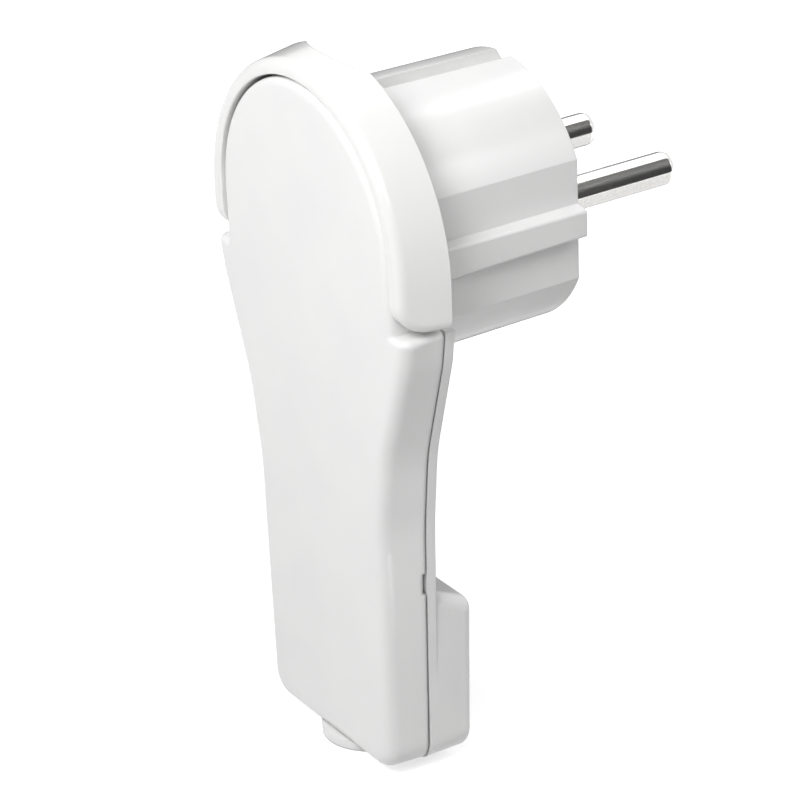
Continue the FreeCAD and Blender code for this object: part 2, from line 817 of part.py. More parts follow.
def make_insert(radius, length, mouth, z):
    """Threaded brass bush pressed into a boss of the cover."""
    bush = rod_y(radius + insert_wall, mouth - length, mouth, 0, z)
    return bush.cut(rod_y(radius + thread_clearance, mouth - length - over, mouth + over, 0, z))


def make_cable_grommet():
    """Soft sleeve in the collar, with a flange in the collar's groove."""
    top = bottom + collar_rise
    sleeve = rod_z(cable_radius + grommet_wall, bottom - collar_drop, top, 0, cable_y)
    foot = bottom + grommet_flange_rise
    flange = rod_z(cable_radius + grommet_wall + grommet_flange, foot, foot + grommet_flange_height,
                   0, cable_y)
    bore = rod_z(cable_radius, bottom - collar_drop - over, top + over, 0, cable_y)
    return fused([sleeve, flange]).cut(bore)


half_pitch = pin_pitch / 2
retainer_screw_tip = pocket_floor + small_screw_length - hole_clearance - retainer_thickness
main_seat = -main_head_recess
lower_seat_y = plate_front + lower_screw_seat
clamp_seat_y = cover_inside + clamp_top_gap + small_head_height
earth_seat = strap_front - earth_clamp_thickness
earth_tip = pocket_floor + end_wall - over

pieces = {
    "cover": make_cover(),
    "plug_base": make_plug_base(),
    "bail": make_bail(),
    "contact_pin_left": make_contact_pin(-half_pitch),
    "contact_pin_right": make_contact_pin(half_pitch),
    "terminal_screw_left": make_terminal_screw(-half_pitch),
    "terminal_screw_right": make_terminal_screw(half_pitch),
    "earth_strap": make_earth_strap(),
    "earth_clamp": make_earth_clamp(),
    "earth_terminal_screw": slotted_screw(
        terminal_screw_radius, terminal_head_radius, terminal_head_height,
        earth_seat, earth_tip, 0, -earth_terminal_drop, -1),
    "pin_retainer": make_pin_retainer(),
    "retainer_screw_lower": slotted_screw(
        small_screw_radius, small_head_radius, small_head_height,
        retainer_front, retainer_screw_tip, 0, -small_screw_offset, -1),
    "retainer_screw_upper": slotted_screw(
        small_screw_radius, small_head_radius, small_head_height,
        retainer_front, retainer_screw_tip, 0, small_screw_offset, -1),
    "main_screw": slotted_screw(
        main_screw_radius, main_head_radius, main_head_height,
        main_seat, main_screw_tip, 0, 0, 1),
    "main_insert": make_insert(main_screw_radius, main_insert_length, retainer_front, 0),
    "lower_screw": slotted_screw(
        lower_screw_radius, lower_head_radius, lower_head_height,
        lower_seat_y, plate_front - lower_insert_length, 0, -lower_screw_drop, 1),
    "lower_insert": make_insert(lower_screw_radius, lower_insert_length, plate_front, -lower_screw_drop),
    "cord_clamp_bar": make_cord_clamp_bar(),
    "cord_clamp_screw_left": slotted_screw(
        small_screw_radius, small_head_radius, small_head_height,
        clamp_seat_y, clamp_seat_y + clamp_screw_length, -clamp_screw_offset, -clamp_drop, -1),
    "cord_clamp_screw_right": slotted_screw(
        small_screw_radius, small_head_radius, small_head_height,
        clamp_seat_y, clamp_seat_y + clamp_screw_length, clamp_screw_offset, -clamp_drop, -1),
    "cable_grommet": make_cable_grommet()}

os.makedirs("parts", exist_ok=True)
for name, shape in pieces.items():
    print(name, "solids", len(shape.Solids), "valid", shape.isValid(), "volume", round(shape.Volume, 1))
    shape.exportStep("parts/" + name + ".step")
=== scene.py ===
import math

import bmesh
import bpy
from mathutils import Matrix, Vector


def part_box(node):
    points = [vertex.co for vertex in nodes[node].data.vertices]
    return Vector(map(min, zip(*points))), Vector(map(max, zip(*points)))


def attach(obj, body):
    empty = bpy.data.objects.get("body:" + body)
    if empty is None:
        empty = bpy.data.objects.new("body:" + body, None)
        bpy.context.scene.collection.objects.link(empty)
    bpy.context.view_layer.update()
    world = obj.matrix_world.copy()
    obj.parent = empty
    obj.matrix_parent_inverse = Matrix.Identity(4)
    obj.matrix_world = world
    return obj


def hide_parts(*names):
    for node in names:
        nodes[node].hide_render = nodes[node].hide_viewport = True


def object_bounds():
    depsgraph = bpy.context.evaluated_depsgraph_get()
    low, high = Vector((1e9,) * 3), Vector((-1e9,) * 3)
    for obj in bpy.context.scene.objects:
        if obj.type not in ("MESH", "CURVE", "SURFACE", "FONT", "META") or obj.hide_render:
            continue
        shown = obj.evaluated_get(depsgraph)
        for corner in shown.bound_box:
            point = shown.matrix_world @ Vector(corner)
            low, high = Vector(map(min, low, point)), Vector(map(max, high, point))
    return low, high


mm = 0.001

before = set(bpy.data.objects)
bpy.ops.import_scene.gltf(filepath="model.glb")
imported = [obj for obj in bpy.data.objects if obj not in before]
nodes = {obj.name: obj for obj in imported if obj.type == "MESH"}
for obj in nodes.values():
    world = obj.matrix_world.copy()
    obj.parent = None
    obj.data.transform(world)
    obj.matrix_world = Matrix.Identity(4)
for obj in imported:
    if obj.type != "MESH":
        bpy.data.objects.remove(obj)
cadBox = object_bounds()
print("frame loaded:", len(nodes), "nodes")


def addObject(name, data):
    added = bpy.data.objects.new(name, data)
    bpy.context.scene.collection.objects.link(added)
    return added


def addMesh(name, bm, mat):
    mesh = bpy.data.meshes.new(name)
    bm.to_mesh(mesh)
    bm.free()
    mesh.materials.append(mat)
    return addObject(name, mesh)


camera = {
    "azimuth": math.radians(57.7929),   # turned from looking along +Y
    "elevation": math.radians(25.5768),
    "roll": math.radians(-2.2638),
    "distance": 525.52 * mm,
    "across": 16.8126 * mm,             # from the middle of the frame to the origin
    "upward": 31.2304 * mm,
    "lens": 168.4845,                   # lens and sensor are in millimetres
    "sensor": 36.0,
    "clip": (0.01, 20),
}


def makeCamera(spec):
    az, el, roll = spec["azimuth"], spec["elevation"], spec["roll"]
    right = Vector((math.cos(az), math.sin(az), 0))
    up = Vector((-math.sin(az) * math.sin(el), math.cos(az) * math.sin(el), math.cos(el)))
    back = right.cross(up)
    rolledRight = math.cos(roll) * right + math.sin(roll) * up
    rolledUp = -math.sin(roll) * right + math.cos(roll) * up
    data = bpy.data.cameras.new("photoCamera")
    data.sensor_width = spec["sensor"]
    data.lens = spec["lens"]
    data.clip_start, data.clip_end = spec["clip"]
    cam = addObject("photoCamera", data)
    turn = Matrix((rolledRight, rolledUp, back)).transposed().to_4x4()
    place = back * spec["distance"] - rolledRight * spec["across"] - rolledUp * spec["upward"]
    cam.matrix_world = Matrix.Translation(place) @ turn
    bpy.context.scene.camera = cam


makeCamera(camera)
print("camera set")


def feed(tree, socket, value):
    # numbers and colours are typed in, anything else is linked
    if isinstance(value, (int, float)):
        socket.default_value = value
    elif isinstance(value, tuple):
        socket.default_value = value + (1,)
    else:
        tree.links.new(value, socket)


def mathNode(tree, operation, first, second, clamp=False):
    node = tree.nodes.new("ShaderNodeMath")
    node.operation = operation
    node.use_clamp = clamp
    feed(tree, node.inputs[0], first)
    feed(tree, node.inputs[1], second)
    return node.outputs[0]


def rangeNode(tree, value, low, high, toLow, toHigh):
    node = tree.nodes.new("ShaderNodeMapRange")
    tree.links.new(value, node.inputs["Value"])
    limits = {"From Min": low, "From Max": high, "To Min": toLow, "To Max": toHigh}
    for label, number in limits.items():
        node.inputs[label].default_value = number
    return node.outputs["Result"]


def mixShaders(tree, factor, first, second):
    mix = tree.nodes.new("ShaderNodeMixShader")
    for place, source in enumerate((factor, first, second)):
        tree.links.new(source, mix.inputs[place])
    return mix.outputs[0]


def whiteGlow(tree, kind, strength):
    node = tree.nodes.new(kind)
    node.inputs["Color"].default_value = (1, 1, 1, 1)
    feed(tree, node.inputs["Strength"], strength)
    return node.outputs[0]


def greyPaint(tree, grey):
    node = tree.nodes.new("ShaderNodeBsdfDiffuse")
    feed(tree, node.inputs["Color"], (grey,) * 3)
    return node.outputs[0]


def bareMaterial(name):
    mat = bpy.data.materials.new(name)
    mat.use_nodes = True
    mat.node_tree.nodes.clear()
    return mat, mat.node_tree, mat.node_tree.nodes.new("ShaderNodeOutputMaterial")


def seenByEye(tree):
    # 1 for camera, glossy and transmission rays
    path = tree.nodes.new("ShaderNodeLightPath")
    straight = mathNode(tree, "MAXIMUM", path.outputs["Is Camera Ray"], path.outputs["Is Glossy Ray"])
    return mathNode(tree, "MAXIMUM", straight, path.outputs["Is Transmission Ray"])


studio = {
    "ambient": 0.08,              # the surroundings as they light the part
    "background": 1.0,            # the surroundings as they are seen
    "floorRadius": 3.0,
    "floorSegments": 64,
    "floorGrey": 0.57,            # the floor as it throws light back at the part
    "floorWhite": 0.8,            # the floor as it is seen, with a glow that hides its far edge
    "floorGlow": (0.62, 0.95),    # at nearGlowAt and at farGlowAt
    "nearGlowAt": 0.10,
    "farGlowAt": 0.32,
    "aim": (0, -0.02, -0.01),
    "lamps": {
        "frontLamp": {"at": (0.28, -0.35, 0.35), "size": 0.30, "power": 0.70},
        "rearLamp": {"at": (0.35, 0.40, 0.35), "size": 0.30, "power": 0.96},
        "levelLamp": {"at": (-0.05, -0.60, 0.02), "size": 0.35, "power": 0.20},
        "headLamp": {"at": (0.12, -0.24, 0.22), "size": 0.16, "power": 0.66},
        "leftLamp": {"at": (-0.16, -0.24, 0.20), "size": 0.16, "power": 0.30},
        "overLamp": {"at": (0.05, 0.20, 0.34), "size": 0.25, "power": 0.23},
        "backLamp": {"at": (-0.34, 0.46, -0.01), "size": 0.36, "power": 1.0, "inGloss": False},
    },
    "cardGrid": (24, 4),
    "cards": {   # depth runs along +Y, ends are degrees from +X towards +Z, glow goes by height
        "sideCard": {"radius": 0.24, "depth": (0.128, 0.30), "ends": (-17.5, 84),
                     "heights": (0.10, 0.24), "glow": (0.055, 0.20)},
        "overCard": {"radius": 0.28, "depth": (0.01, 0.35), "ends": (86, 160),
                     "heights": (0.05, 0.25), "glow": (1.2, 1.8)},
        "bandCard": {"radius": 0.26, "depth": (0.122, 0.168), "ends": (97.5, 98.5), "farEnds": (94.5, 124),
                     "heights": (0.10, 0.26), "glow": (6.0, 6.0)},
        "bailCard": {"radius": 0.26, "depth": (0.029, 0.047), "ends": (90, 102), "farEnds": (102, 118),
                     "heights": (0.10, 0.26), "glow": (3.6, 3.6)},
        "rearCard": {"radius": 0.28, "depth": (0.05, 0.35), "ends": (166, 206),
                     "heights": (-0.10, 0.07), "glow": (0.08, 0.12)},
        "lowCard": {"radius": 0.074, "depth": (0.03, 0.07), "ends": (-123, -18.5),
                    "heights": (-0.07, -0.02), "glow": (0.93, 0.99)},
        "footCard": {"radius": 0.09, "depth": (0.03, 0.12), "ends": (216, 236),
                     "heights": (-0.08, -0.05), "glow": (0.03, 0.10)},
    },
}


def makeWorld(spec):
    world = bpy.data.worlds.new("studioWorld")
    bpy.context.scene.world = world
    world.use_nodes = True
    tree = world.node_tree
    tree.nodes.clear()
    out = tree.nodes.new("ShaderNodeOutputWorld")
    ambient = whiteGlow(tree, "ShaderNodeBackground", spec["ambient"])
    shown = whiteGlow(tree, "ShaderNodeBackground", spec["background"])
    tree.links.new(mixShaders(tree, seenByEye(tree), ambient, shown), out.inputs["Surface"])


def makeFloor(spec):
    mat, tree, out = bareMaterial("paleFloor")
    coords = tree.nodes.new("ShaderNodeTexCoord")
    away = tree.nodes.new("ShaderNodeVectorMath")
    away.operation = "LENGTH"
    tree.links.new(coords.outputs["Object"], away.inputs[0])
    strength = rangeNode(tree, away.outputs["Value"], spec["nearGlowAt"], spec["farGlowAt"],
                         *spec["floorGlow"])
    pale = tree.nodes.new("ShaderNodeAddShader")
    tree.links.new(greyPaint(tree, spec["floorWhite"]), pale.inputs[0])
    tree.links.new(whiteGlow(tree, "ShaderNodeEmission", strength), pale.inputs[1])
    top = mixShaders(tree, seenByEye(tree), greyPaint(tree, spec["floorGrey"]), pale.outputs[0])
    fromBelow = tree.nodes.new("ShaderNodeNewGeometry")
    clear = tree.nodes.new("ShaderNodeBsdfTransparent")
    bothSides = mixShaders(tree, fromBelow.outputs["Backfacing"], top, clear.outputs[0])
    tree.links.new(bothSides, out.inputs["Surface"])
    bm = bmesh.new()
    bmesh.ops.create_circle(bm, cap_ends=True, segments=spec["floorSegments"],
                            radius=spec["floorRadius"])
    bmesh.ops.translate(bm, verts=bm.verts, vec=(0, 0, cadBox[0][2]))
    floor = addMesh("studioFloor", bm, mat)


def makeLamp(name, spec, aim):
    data = bpy.data.lights.new(name, "AREA")
    data.shape = "RECTANGLE"
    data.size = data.size_y = spec["size"]
    data.energy = spec["power"]
    lamp = addObject(name, data)
    lamp.visible_glossy = spec.get("inGloss", True)
    place = Vector(spec["at"])
    turn = (Vector(aim) - place).to_track_quat("-Z", "Y")
    lamp.matrix_world = Matrix.Translation(place) @ turn.to_matrix().to_4x4()


def makeCard(name, spec, grid):
    # a card bent round the plug's axis, seen only in reflections
    mat, tree, out = bareMaterial(name + "Paper")
    coords = tree.nodes.new("ShaderNodeTexCoord")
    split = tree.nodes.new("ShaderNodeSeparateXYZ")
    tree.links.new(coords.outputs["Object"], split.inputs[0])
    strength = rangeNode(tree, split.outputs["Z"], *spec["heights"], *spec["glow"])
    tree.links.new(whiteGlow(tree, "ShaderNodeEmission", strength), out.inputs["Surface"])
    bm = bmesh.new()
    bmesh.ops.create_grid(bm, x_segments=grid[0], y_segments=grid[1], size=0.5)
    near, far = spec["depth"]
    nearEnds, farEnds = spec["ends"], spec.get("farEnds", spec["ends"])
    for vert in bm.verts:
        along, deep = vert.co.x + 0.5, vert.co.y + 0.5   # 0 to 1 on the card
        first, last = [a * (1 - deep) + b * deep for a, b in zip(nearEnds, farEnds)]
        angle = math.radians(first + (last - first) * along)
        vert.co = (spec["radius"] * math.cos(angle), near + (far - near) * deep,
                   spec["radius"] * math.sin(angle))
    card = addMesh(name, bm, mat)
    card.visible_camera = False
    card.visible_diffuse = False
    card.visible_shadow = False


makeWorld(studio)
makeFloor(studio)
for name, spec in studio["lamps"].items():
    makeLamp(name, spec, studio["aim"])
for name, spec in studio["cards"].items():
    makeCard(name, spec, studio["cardGrid"])
bpy.context.scene.view_settings.view_transform = "Standard"
print("studio lit")


def newGroup(name, sizes, outputs):
    # each group takes a place on the piece and a few sizes
    group = bpy.data.node_groups.new(name, "ShaderNodeTree")
    group.interface.new_socket(name="Vector", in_out="INPUT", socket_type="NodeSocketVector")
    for label, size in sizes.items():
        socket = group.interface.new_socket(name=label, in_out="INPUT", socket_type="NodeSocketFloat")
        socket.default_value = size
    for label, kind in outputs.items():
        group.interface.new_socket(name=label, in_out="OUTPUT", socket_type=kind)
    return group, group.nodes.new("NodeGroupInput"), group.nodes.new("NodeGroupOutput")


def noiseNode(tree, vector, size, detail, roughness=0.5):
    node = tree.nodes.new("ShaderNodeTexNoise")
    node.inputs["Detail"].default_value = detail
    node.inputs["Roughness"].default_value = roughness
    tree.links.new(vector, node.inputs["Vector"])
    tree.links.new(mathNode(tree, "DIVIDE", 1.0, size), node.inputs["Scale"])
    return node.outputs["Fac"]


def stretched(tree, vector, factors):
    node = tree.nodes.new("ShaderNodeVectorMath")
    node.operation = "MULTIPLY"
    node.inputs[1].default_value = factors
    tree.links.new(vector, node.inputs[0])
    return node.outputs["Vector"]


skinShape = {
    "grainDetail": 3.0, "grainRoughness": 0.6,
    "patchDetail": 2.0, "patchRange": (0.3, 0.7),
    "speckCells": 0.25,           # cells that may hold a speck, to one grain
    "speckEdge": (0.05, 0.16),    # where a speck starts to fade and ends, in cells
    "emptyCells": 0.86,           # share of the cells without one
}


def makeSkinGroup(spec):
    # fine grain of a moulding, with broad patches and stray specks
    group, start, end = newGroup(
        "mouldedSkin", {"Grain Size": 0.3 * mm, "Patch Size": 9 * mm},
        {"Height": "NodeSocketFloat", "Patches": "NodeSocketFloat", "Specks": "NodeSocketFloat"})
    vector, grainSize = start.outputs["Vector"], start.outputs["Grain Size"]
    grain = noiseNode(group, vector, grainSize, spec["grainDetail"], spec["grainRoughness"])
    patches = noiseNode(group, vector, start.outputs["Patch Size"], spec["patchDetail"])
    cells = group.nodes.new("ShaderNodeTexVoronoi")
    group.links.new(vector, cells.inputs["Vector"])
    group.links.new(mathNode(group, "DIVIDE", spec["speckCells"], grainSize), cells.inputs["Scale"])
    near = rangeNode(group, cells.outputs["Distance"], *spec["speckEdge"], 1.0, 0.0)
    chosen = group.nodes.new("ShaderNodeSeparateColor")
    group.links.new(cells.outputs["Color"], chosen.inputs[0])
    few = mathNode(group, "GREATER_THAN", chosen.outputs["Red"], spec["emptyCells"])
    group.links.new(grain, end.inputs["Height"])
    group.links.new(rangeNode(group, patches, *spec["patchRange"], 0.0, 1.0), end.inputs["Patches"])
    group.links.new(mathNode(group, "MULTIPLY", near, few), end.inputs["Specks"])
    return group


edgeShape = {
    "hollowSamples": 8,
    "hollowRange": (0.42, 0.04),   # openness where the painted shade in a gap starts and where it is darkest
    "bevelSamples": 6,
    "edgeRange": (0.97, 0.84),     # cosines of the rounded normal's turn, unrubbed and rubbed
    "patchDetail": 3.0, "patchRange": (0.35, 0.6), "leastRubbed": 0.25,
}


def makeEdgeGroup(spec):
    # small rounds on sharp edges, a mask where hands have polished them, and a mask of painted shade for
    # narrow gaps
    group, start, end = newGroup(
        "softEdge", {"Radius": 0.25 * mm, "Patch Size": 2.5 * mm, "Hollow Reach": 1.0 * mm},
        {"Normal": "NodeSocketVector", "Rubbed": "NodeSocketFloat", "Crevice Shade": "NodeSocketFloat"})
    # ambient occlusion drives the painted shade in narrow gaps and seams
    hollow = group.nodes.new("ShaderNodeAmbientOcclusion")
    hollow.samples = spec["hollowSamples"]
    group.links.new(start.outputs["Hollow Reach"], hollow.inputs["Distance"])
    creviceShade = rangeNode(group, hollow.outputs["AO"], *spec["hollowRange"], 0.0, 1.0)
    bevel = group.nodes.new("ShaderNodeBevel")
    bevel.samples = spec["bevelSamples"]
    group.links.new(start.outputs["Radius"], bevel.inputs["Radius"])
    geometry = group.nodes.new("ShaderNodeNewGeometry")
    dot = group.nodes.new("ShaderNodeVectorMath")
    dot.operation = "DOT_PRODUCT"
    group.links.new(bevel.outputs["Normal"], dot.inputs[0])
    group.links.new(geometry.outputs["Normal"], dot.inputs[1])
    edge = rangeNode(group, dot.outputs["Value"], *spec["edgeRange"], 0.0, 1.0)
    patches = noiseNode(group, start.outputs["Vector"], start.outputs["Patch Size"], spec["patchDetail"])
    broken = rangeNode(group, patches, *spec["patchRange"], spec["leastRubbed"], 1.0)
    group.links.new(bevel.outputs["Normal"], end.inputs["Normal"])
    group.links.new(mathNode(group, "MULTIPLY", edge, broken, clamp=True), end.inputs["Rubbed"])
    group.links.new(creviceShade, end.inputs["Crevice Shade"])
    return group


turningShape = {
    "lineStretch": (0.08, 1.0, 0.08), "lineDetail": 4.0, "lineRoughness": 0.7,
    "scuffStretch": (18.0, 1.0, 18.0), "scuffDetail": 5.0, "scuffRoughness": 0.65,
    "scuffRange": (0.42, 0.70),
}


def makeTurningGroup(spec):
    # fine tool lines round an axis along Y, and scuffs drawn along it
    group, start, end = newGroup(
        "turningLines", {"Pitch": 0.12 * mm, "Scuff Length": 6 * mm},
        {"Lines": "NodeSocketFloat", "Scuffs": "NodeSocketFloat"})
    across = stretched(group, start.outputs["Vector"], spec["lineStretch"])
    lines = noiseNode(group, across, start.outputs["Pitch"], spec["lineDetail"], spec["lineRoughness"])
    along = stretched(group, start.outputs["Vector"], spec["scuffStretch"])
    scuffs = noiseNode(group, along, start.outputs["Scuff Length"],
                       spec["scuffDetail"], spec["scuffRoughness"])
    group.links.new(lines, end.inputs["Lines"])
    group.links.new(rangeNode(group, scuffs, *spec["scuffRange"], 0.0, 1.0), end.inputs["Scuffs"])
    return group


skinGroup = makeSkinGroup(skinShape)
edgeGroup = makeEdgeGroup(edgeShape)
turningGroup = makeTurningGroup(turningShape)
print("surface groups built")


def placeGroup(tree, group, vector, sizes):
    node = tree.nodes.new("ShaderNodeGroup")
    node.node_tree = group
    tree.links.new(vector, node.inputs["Vector"])
    for label, size in sizes.items():
        node.inputs[label].default_value = size
    return node.outputs


def mixColour(tree, factor, first, second):
    node = tree.nodes.new("ShaderNodeMix")
    node.data_type = "RGBA"
    tree.links.new(factor, node.inputs["Factor"])
    for label, value in (("A", first), ("B", second)):
        socket = [s for s in node.inputs if s.name == label and s.type == "RGBA"][0]
        feed(tree, socket, value)
    return [s for s in node.outputs if s.type == "RGBA"][0]


def layColour(tree, below, mask, share, colour):
    return mixColour(tree, mathNode(tree, "MULTIPLY", mask, share), below, colour)


def bumpNode(tree, height, depth, normal):
    node = tree.nodes.new("ShaderNodeBump")
    node.inputs["Distance"].default_value = depth
    tree.links.new(height, node.inputs["Height"])
    tree.links.new(normal, node.inputs["Normal"])
    return node.outputs["Normal"]


def startMaterial(name, turn):
    # a material with its Principled shader, and the piece's own coordinates
    mat = bpy.data.materials.new(name)
    mat.use_nodes = True
    tree = mat.node_tree
    coords = tree.nodes.new("ShaderNodeTexCoord")
    mapping = tree.nodes.new("ShaderNodeMapping")
    mapping.inputs["Rotation"].default_value = turn
    tree.links.new(coords.outputs["Object"], mapping.inputs["Vector"])
    return mat, tree, tree.nodes["Principled BSDF"], mapping.outputs["Vector"]


def makePlastic(name, spec):
    mat, tree, shader, vector = startMaterial(name, (0, 0, 0))
    skin = placeGroup(tree, skinGroup, vector,
                      {"Grain Size": spec["grainSize"], "Patch Size": spec["patchSize"]})
    edge = placeGroup(tree, edgeGroup, vector,
                      {"Radius": spec["edgeRound"], "Patch Size": spec["rubSize"]})
    tone = mixColour(tree, skin["Patches"], spec["colour"], spec["shade"])
    tone = layColour(tree, tone, skin["Height"], spec["grainTone"], spec["grainColour"])
    # painted shade: narrow gaps and seams are darkened towards the crevice colour
    tone = layColour(tree, tone, edge["Crevice Shade"], spec["creviceShadeTone"], spec["creviceShadeColour"])
    tone = layColour(tree, tone, edge["Rubbed"], spec["rubTone"], spec["rubColour"])
    tone = layColour(tree, tone, skin["Specks"], spec["speckTone"], spec["speckColour"])
    tree.links.new(tone, shader.inputs["Base Color"])
    rough = rangeNode(tree, skin["Patches"], 0.0, 1.0, *spec["roughness"])
    polish = mathNode(tree, "MULTIPLY", edge["Rubbed"], spec["polish"])
    tree.links.new(mathNode(tree, "SUBTRACT", rough, polish), shader.inputs["Roughness"])
    grain = bumpNode(tree, skin["Height"], spec["grainDepth"], edge["Normal"])
    tree.links.new(grain, shader.inputs["Normal"])
    shader.inputs["IOR"].default_value = spec["ior"]
    return mat


# the crevice colours and tones in these finishes are painted shade for narrow gaps and seams
shellFinish = {
    "colour": (0.872, 0.872, 0.865), "shade": (0.845, 0.846, 0.843),
    "grainColour": (0.78, 0.775, 0.77), "grainTone": 0.10,
    "creviceShadeColour": (0.30, 0.295, 0.285), "creviceShadeTone": 0.6,
    "rubColour": (0.92, 0.92, 0.915), "rubTone": 0.35,
    "speckColour": (0.55, 0.53, 0.5), "speckTone": 0.10,
    "roughness": (0.30, 0.36), "polish": 0.01, "ior": 1.5,
    "grainSize": 0.22 * mm, "grainDepth": 0.004 * mm,
    "patchSize": 11 * mm, "rubSize": 2.4 * mm, "edgeRound": 0.80 * mm,
}
bodyFinish = dict(shellFinish, roughness=(0.17, 0.22), grainDepth=0.003 * mm, edgeRound=0.25 * mm)
bailFinish = {
    "colour": (0.870, 0.868, 0.860), "shade": (0.852, 0.851, 0.846),
    "grainColour": (0.80, 0.79, 0.78), "grainTone": 0.06,
    "creviceShadeColour": (0.30, 0.295, 0.285), "creviceShadeTone": 0.75,
    "rubColour": (0.92, 0.92, 0.915), "rubTone": 0.35,
    "speckColour": (0.55, 0.53, 0.5), "speckTone": 0.08,
    "roughness": (0.12, 0.17), "polish": 0.03, "ior": 1.5,
    "grainSize": 0.30 * mm, "grainDepth": 0.002 * mm,
    "patchSize": 7 * mm, "rubSize": 2.0 * mm, "edgeRound": 0.20 * mm,
}
innerFinish = {
    "colour": (0.80, 0.80, 0.79), "shade": (0.76, 0.76, 0.75),
    "grainColour": (0.66, 0.66, 0.65), "grainTone": 0.2,
    "creviceShadeColour": (0.30, 0.295, 0.285), "creviceShadeTone": 0.75,
    "rubColour": (0.86, 0.86, 0.85), "rubTone": 0.4,
    "speckColour": (0.4, 0.38, 0.35), "speckTone": 0.3,
    "roughness": (0.45, 0.55), "polish": 0.1, "ior": 1.5,
    "grainSize": 0.25 * mm, "grainDepth": 0.008 * mm,
    "patchSize": 5 * mm, "rubSize": 1.5 * mm, "edgeRound": 0.15 * mm,
}
softFinish = {
    "colour": (0.84, 0.84, 0.83), "shade": (0.77, 0.77, 0.76),
    "grainColour": (0.62, 0.62, 0.61), "grainTone": 0.25,
    "creviceShadeColour": (0.30, 0.295, 0.285), "creviceShadeTone": 0.25,
    "rubColour": (0.74, 0.74, 0.73), "rubTone": 0.4,
    "speckColour": (0.35, 0.34, 0.33), "speckTone": 0.4,
    "roughness": (0.62, 0.75), "polish": 0.12, "ior": 1.45,
    "grainSize": 0.18 * mm, "grainDepth": 0.012 * mm,
    "patchSize": 3 * mm, "rubSize": 1.2 * mm, "edgeRound": 0.2 * mm,
}

grainLimits = (0.40, 0.66)   # heights of the grain between which a metal's spots set in


def makeMetal(name, spec):
    mat, tree, shader, vector = startMaterial(name, spec["turn"])
    shader.inputs["Metallic"].default_value = 1.0
    marks = placeGroup(tree, turningGroup, vector,
                       {"Pitch": spec["pitch"], "Scuff Length": spec["scuffLength"]})
    edge = placeGroup(tree, edgeGroup, vector,
                      {"Radius": spec["edgeRound"], "Patch Size": spec["rubSize"]})
    skin = placeGroup(tree, skinGroup, vector,
                      {"Grain Size": spec["grainSize"], "Patch Size": spec["scuffLength"]})
    spots = rangeNode(tree, skin["Height"], *grainLimits, 0.0, spec["grainTone"])
    tone = mixColour(tree, spots, spec["colour"], spec["grainColour"])
    tone = layColour(tree, tone, marks["Lines"], spec["lineTone"], spec["lineColour"])
    tone = layColour(tree, tone, marks["Scuffs"], spec["scuffTone"], spec["scuffColour"])
    tone = layColour(tree, tone, edge["Rubbed"], spec["rubTone"], spec["rubColour"])
    tree.links.new(tone, shader.inputs["Base Color"])
    rough = rangeNode(tree, marks["Scuffs"], 0.0, 1.0, *spec["roughness"])
    tree.links.new(rough, shader.inputs["Roughness"])
    lines = bumpNode(tree, marks["Lines"], spec["lineDepth"], edge["Normal"])
    pits = bumpNode(tree, skin["Height"], spec["grainDepth"], lines)
    tree.links.new(pits, shader.inputs["Normal"])
    return mat


pinFinish = {
    "colour": (0.88, 0.87, 0.85),
    "grainColour": (0.46, 0.47, 0.50), "grainTone": 0.30,
    "lineColour": (0.70, 0.69, 0.67), "lineTone": 0.30,
    "scuffColour": (0.76, 0.73, 0.68), "scuffTone": 0.25,
    "rubColour": (0.93, 0.92, 0.90), "rubTone": 0.5,
    "roughness": (0.09, 0.13), "turn": (0, 0, 0),
    "grainSize": 0.30 * mm, "grainDepth": 0.003 * mm,
    "pitch": 0.16 * mm, "lineDepth": 0.001 * mm,
    "scuffLength": 5 * mm, "rubSize": 1.5 * mm, "edgeRound": 0.15 * mm,
}
stripFinish = {
    "colour": (0.84, 0.83, 0.81),
    "grainColour": (0.52, 0.52, 0.53), "grainTone": 0.4,
    "lineColour": (0.62, 0.61, 0.60), "lineTone": 0.35,
    "scuffColour": (0.55, 0.53, 0.50), "scuffTone": 0.4,
    "rubColour": (0.92, 0.91, 0.89), "rubTone": 0.6,
    "roughness": (0.29, 0.40), "turn": (math.radians(90), 0, 0),
    "grainSize": 0.3 * mm, "grainDepth": 0.006 * mm,
    "pitch": 0.2 * mm, "lineDepth": 0.003 * mm,
    "scuffLength": 4 * mm, "rubSize": 1.2 * mm, "edgeRound": 0.12 * mm,
}
screwFinish = {
    "colour": (0.74, 0.75, 0.77),
    "grainColour": (0.44, 0.45, 0.46), "grainTone": 0.4,
    "lineColour": (0.55, 0.56, 0.58), "lineTone": 0.4,
    "scuffColour": (0.50, 0.49, 0.47), "scuffTone": 0.4,
    "rubColour": (0.86, 0.86, 0.86), "rubTone": 0.6,
    "roughness": (0.29, 0.44), "turn": (0, 0, 0),
    "grainSize": 0.2 * mm, "grainDepth": 0.005 * mm,
    "pitch": 0.14 * mm, "lineDepth": 0.004 * mm,
    "scuffLength": 2 * mm, "rubSize": 0.8 * mm, "edgeRound": 0.08 * mm,
}
brassFinish = {
    "colour": (0.80, 0.63, 0.34),
    "grainColour": (0.48, 0.35, 0.17), "grainTone": 0.4,
    "lineColour": (0.62, 0.46, 0.22), "lineTone": 0.4,
    "scuffColour": (0.50, 0.37, 0.18), "scuffTone": 0.35,
    "rubColour": (0.90, 0.75, 0.47), "rubTone": 0.6,
    "roughness": (0.29, 0.42), "turn": (0, 0, 0),
    "grainSize": 0.2 * mm, "grainDepth": 0.005 * mm,
    "pitch": 0.16 * mm, "lineDepth": 0.004 * mm,
    "scuffLength": 2 * mm, "rubSize": 0.8 * mm, "edgeRound": 0.08 * mm,
}

